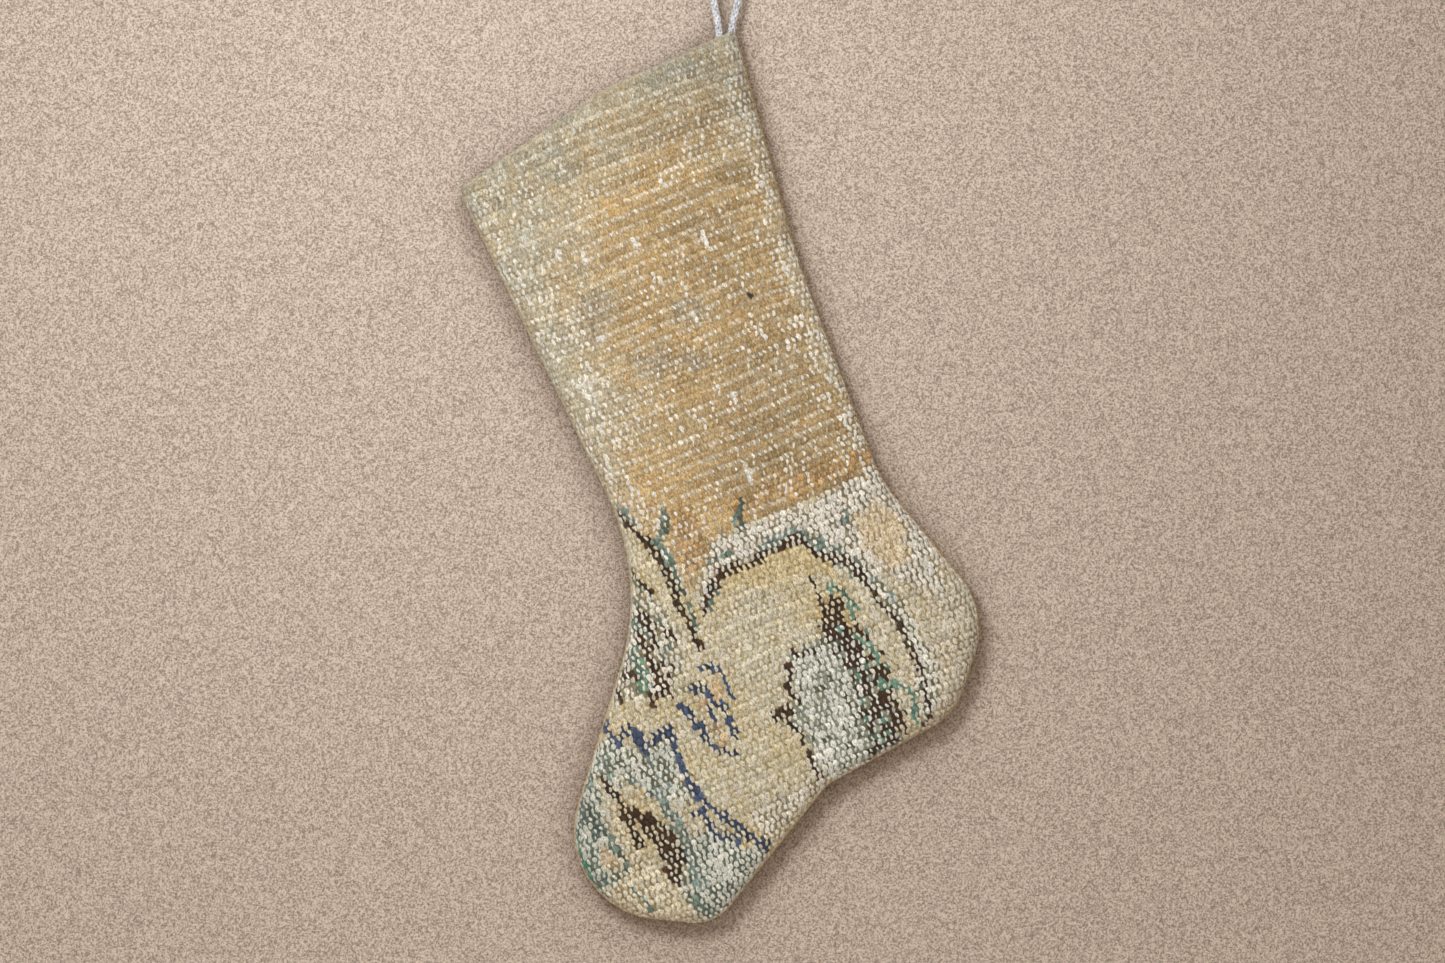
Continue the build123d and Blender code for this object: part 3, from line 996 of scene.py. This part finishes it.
# ==== Plain cloth layers ====
LAYER_MARGIN = 14.0
INNER_GAP = 0.35  # an inner layer stays this far from the seam's plane
WHOLE = (-30, 600)  # a layer's span that leaves nothing out


def make_layer(name, profile, material, step, under, fold=INNER_FOLD, span=WHOLE, wrinkle=0.0):
    """A plain sheet on a panel's surface, under the skin by a distance, between cuff depths."""
    low = BORDERS.min(axis=0) - LAYER_MARGIN
    high = BORDERS.max(axis=0) + LAYER_MARGIN
    x_line = np.arange(low[0], high[0], step)
    z_line = np.arange(low[1], high[1], step)
    z, x = np.meshgrid(z_line, x_line, indexing="ij")
    laid = Laid(np.stack([x.ravel(), z.ravel()], axis=1), profile, fold)
    folds = laid.noise(48, 21) + 0.35 * laid.noise(15, 22)
    folds -= 0.9 * np.abs(laid.noise(34, 23, lean=0.4))
    lift = laid.pucker(0.3, 7) * min(1.0, wrinkle * 2)
    lift += wrinkle * folds * smooth(3, 25, laid.from_seam)
    places = laid.place + laid.normal * (lift - under)[:, None]
    clear = INNER_GAP if under else 0.0
    places[:, 1] = profile.facing * np.maximum(profile.facing * places[:, 1], clear)
    on_cloth = laid.inside() & (laid.from_cuff > span[0]) & (laid.from_cuff < span[1])
    keep = on_cloth.reshape(x.shape).astype(int)
    corners = keep[:-1, :-1] + keep[1:, :-1] + keep[:-1, 1:] + keep[1:, 1:]
    faces = quad_faces(len(x_line), len(z_line), corners >= 3)
    return add_cloth(name, places, faces, material)


# ==== Tubes, seam and stitches ====
END_TAPER = 0.55  # a tube's end rings are smaller by this
WELT_SIDES = 8
WELT_RADIUS = 0.95
STITCH_RADIUS = 0.24


def tube_axes(path):
    """Two directions square to a path, at each of its points."""
    run = np.gradient(path, axis=0)
    run /= np.linalg.norm(run, axis=1)[:, None]
    helper = np.array([0.0, 1.0, 0.0])
    if abs(run[0] @ helper) > 0.8:
        helper = np.array([1.0, 0.0, 0.0])
    side = np.cross(run, helper)
    side /= np.linalg.norm(side, axis=1)[:, None]
    return side, np.cross(run, side)


def tube_faces(rings, sides, first):
    """Faces of a closed tube: its rings of points come first, then its two end points."""
    faces = []
    last = first + (rings - 1) * sides
    for a in range(sides):
        b = (a + 1) % sides
        for row in range(first, last, sides):
            faces.append((row + a, row + b, row + sides + b, row + sides + a))
        faces.append((first + b, first + a, last + sides))
        faces.append((last + a, last + b, last + sides + 1))
    return faces


def wrap_tubes(name, paths, radius, material, sides):
    """Closed round tubes along paths, joined in one piece."""
    angles = (np.arange(sides) * TAU / sides)[:, None]
    places = []
    faces = []
    for path in np.array(paths, float):
        side, other = tube_axes(path)
        reach = np.full((len(path), 1, 1), radius)
        reach[[0, -1]] *= END_TAPER
        around = side[:, None] * np.cos(angles) + other[:, None] * np.sin(angles)
        faces += tube_faces(len(path), sides, len(places))
        places += [*(path[:, None] + reach * around).reshape(-1, 3), path[0], path[-1]]
    return add_mesh(name, places, faces, material)


def side_run():
    """Indices of the side border that lie below the cuff."""
    return np.nonzero(CUFF.depth(SIDE.points) > 1.0)[0]


def make_welt(material):
    """The two panels' turned edges, sewn together: a thin dyed line round the stocking, with
    painted shade on its right side.
    """
    chosen = side_run()[::3]
    rng = np.random.default_rng(5)
    centre = SIDE.points[chosen] + SIDE.inward[chosen] * 0.35
    wave = 0.12 * np.sin(SIDE.length[chosen] * TAU / STITCH_PITCH)
    wave = wave + rng.normal(0, 0.05, len(chosen))
    path = np.stack([centre[:, 0], 0.25 + wave, centre[:, 1]], axis=1)
    tan = linear(182, 158, 120)
    # Painted shade: the darker mustard on the right side stands for the rolled right edge in shade.
    right_edge_shade = linear(168, 138, 78)
    leg = tint(linear(176, 164, 128), right_edge_shade, smooth(-20, 20, SIDE.points[chosen, 0]))
    seam_tones_and_shade = tint(tan, leg, smooth(-380, -330, SIDE.points[chosen, 1]))
    seam_tones_and_shade = seam_tones_and_shade * rng.uniform(0.88, 1.1, (len(chosen), 1))
    welt = wrap_tubes("sewn_edge", [path], WELT_RADIUS, material, WELT_SIDES)
    ends = seam_tones_and_shade[[0, -1]]
    add_colours(welt, "ground", np.concatenate([np.repeat(seam_tones_and_shade, WELT_SIDES, axis=0), ends]))
    return welt


def make_ladder(material):
    """Ladder stitches that close the two edges."""
    stitches = []
    for k in side_run()[8 :: int(STITCH_PITCH / BORDER_STEP)]:
        stitch = []
        for t in np.linspace(-1, 1, 7):
            out = 0.62 - 0.75 * t * t
            x, z = SIDE.points[k] - SIDE.inward[k] * out + SIDE.along[k] * (0.7 * t)
            stitch.append((x, 1.5 * t, z))
        stitches.append(stitch)
    return wrap_tubes("seam_stitches", stitches, STITCH_RADIUS, material, 6)


# ==== Cord loop ====
def loop_centre_line():
    """The route as one smooth NURBS spline, read back as points."""
    curve = bpy.data.curves.new("loop_route", "CURVE")
    curve.dimensions = "3D"
    curve.resolution_u = 24
    spline = curve.splines.new("NURBS")
    spline.points.add(len(LOOP_ROUTE) - 1)
    for point, (x, z) in zip(spline.points, LOOP_ROUTE):
        point.co = (x * MM, 0, z * MM, 1)
    spline.order_u = 3
    spline.use_endpoint_u = True
    holder = bpy.data.objects.new("loop_route", curve)
    bpy.context.collection.objects.link(holder)
    line = bpy.data.meshes.new_from_object(holder)
    points = np.array([v.co[:] for v in line.vertices]) / MM
    bpy.data.objects.remove(holder)
    bpy.data.meshes.remove(line)
    return points


BRAID_STRANDS = 4  # each way round
BRAID_PITCH = 12.0  # length of one strand's full turn
STRAND_RADIUS = 0.56
STRAND_STEP = 0.32  # between a strand's rings


def make_loop(material):
    """Round braid: four strands each way, over and under by turns, round the loop's line."""
    line, length = resample(loop_centre_line(), STRAND_STEP)
    side, back = tube_axes(line)
    strands = []
    for way in (-1, 1):
        for k in range(BRAID_STRANDS):
            angle = way * length * TAU / BRAID_PITCH + k * TAU / BRAID_STRANDS
            lift = 0.24 * way * np.sin(BRAID_STRANDS * angle * way + k * math.pi)
            radius = CORD_DIAMETER / 2 - STRAND_RADIUS * 0.92 + lift
            sideways = side * (np.cos(angle) * radius)[:, None]
            strands.append(line + sideways - back * (np.sin(angle) * radius)[:, None])
    loop = wrap_tubes("braided_loop", strands, STRAND_RADIUS, material, 8)
    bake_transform(loop)
    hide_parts("hanging_loop")


# ==== Stage ====
WALL_Y = 0.0100  # metres, just behind the stocking's back
FLOOR_Z = -0.62


def make_plane(name, corners, material):
    plane = add_mesh(name, np.array(corners) / MM, [(0, 1, 2, 3)], material)
    return plane


def make_stage():
    low = FLOOR_Z
    corners = [(-3, WALL_Y, low), (3, WALL_Y, low), (3, WALL_Y, 2.5), (-3, WALL_Y, 2.5)]
    wall = make_plane("wall", corners, wall_paint())
    wall.visible_shadow = False
    make_plane("floor", [(-4, -4, low), (4, -4, low), (4, 4, low), (-4, 4, low)], floor_paint())


# ==== Assembly ====
def finish_cad_nodes(cord, thread):
    """CAD pieces that keep their shape get their real finish."""
    finishes = {"loop_tails": cord, "loop_bar_tack": thread, "hem_stitches": thread}
    for name, material in finishes.items():
        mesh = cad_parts[name].data
        mesh.materials.clear()
        mesh.materials.append(material)
        mesh.polygons.foreach_set("use_smooth", [True] * len(mesh.polygons))


def put_on(piece, slot, *nodes):
    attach(piece, "stocking")
    if nodes:
        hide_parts(*nodes)


def make_front(rug, cotton):
    knots = make_rug_front(rug)
    for piece in knots:
        put_on(piece, "rug_pile")
    cloth = make_layer("rug_foundation", FRONT, cotton, step=2.0, under=0.9, fold=FRONT_FOLD)
    put_on(cloth, "rug_pile", "front_rug_panel")


def make_back(canvas):
    back = make_layer("canvas_back", BACK, canvas, step=1.3, under=0.0, fold=BACK_FOLD, wrinkle=0.9)
    put_on(back, "back_canvas", "back_canvas_panel")


def make_inside(lining, hem):
    """The turned-in strip and the lining bag of each panel."""
    strip_span = (1.5, HEM_DEPTH)
    bag_span = (HEM_DEPTH - 4, 600)
    for name, profile, under in (("front", FRONT, 4.6), ("back", BACK, 1.7)):
        title = name + "_hem_strip"
        strip = make_layer(title, profile, hem, 2.0, under, span=strip_span, wrinkle=0.2)
        put_on(strip, "hem_cloth", name + "_hem_facing")
        title = name + "_lining_bag"
        bag = make_layer(title, profile, lining, 3.0, under + 0.9, span=bag_span, wrinkle=0.3)
        put_on(bag, "lining_cloth", name + "_lining")


def main():
    bpy.context.scene.view_settings.view_transform = "Standard"
    make_camera()
    make_world()
    make_light("key", (-0.26, -0.74, 0.06), 0.26, 4.7, (0.98, 1.0, 1.03))
    make_light("fill", (-0.04, -0.46, 0.42), 0.4, 1.35)
    make_light("back_fill", (0.5, 1.4, 0.5), 1.2, 26)

    cord = cotton_thread("white_cord", paint(212, 213, 216), paint(134, 135, 140), 1100.0)
    thread = cotton_thread("sewing_thread", paint(214, 200, 170), paint(150, 134, 102), 1500.0)
    make_loop(cord)
    finish_cad_nodes(cord, thread)
    put_on(make_welt(seam_edge()), "hem_cloth", "side_seam_allowance")
    put_on(make_ladder(thread), "sewing_thread", "side_seam_thread")
    cotton = plain_weave("foundation_cotton", paint(206, 194, 164), paint(150, 138, 108), 1.6)
    make_front(rug_wool(), cotton)
    make_back(plain_weave("canvas", paint(222, 212, 192), paint(150, 137, 114), 1.6))
    hem = plain_weave("hem_tape", paint(204, 192, 162), paint(160, 148, 118), 0.9)
    lining = plain_weave("lining_cotton", paint(222, 214, 198), paint(184, 174, 156), 0.7)
    make_inside(lining, hem)
    make_stage()


main()
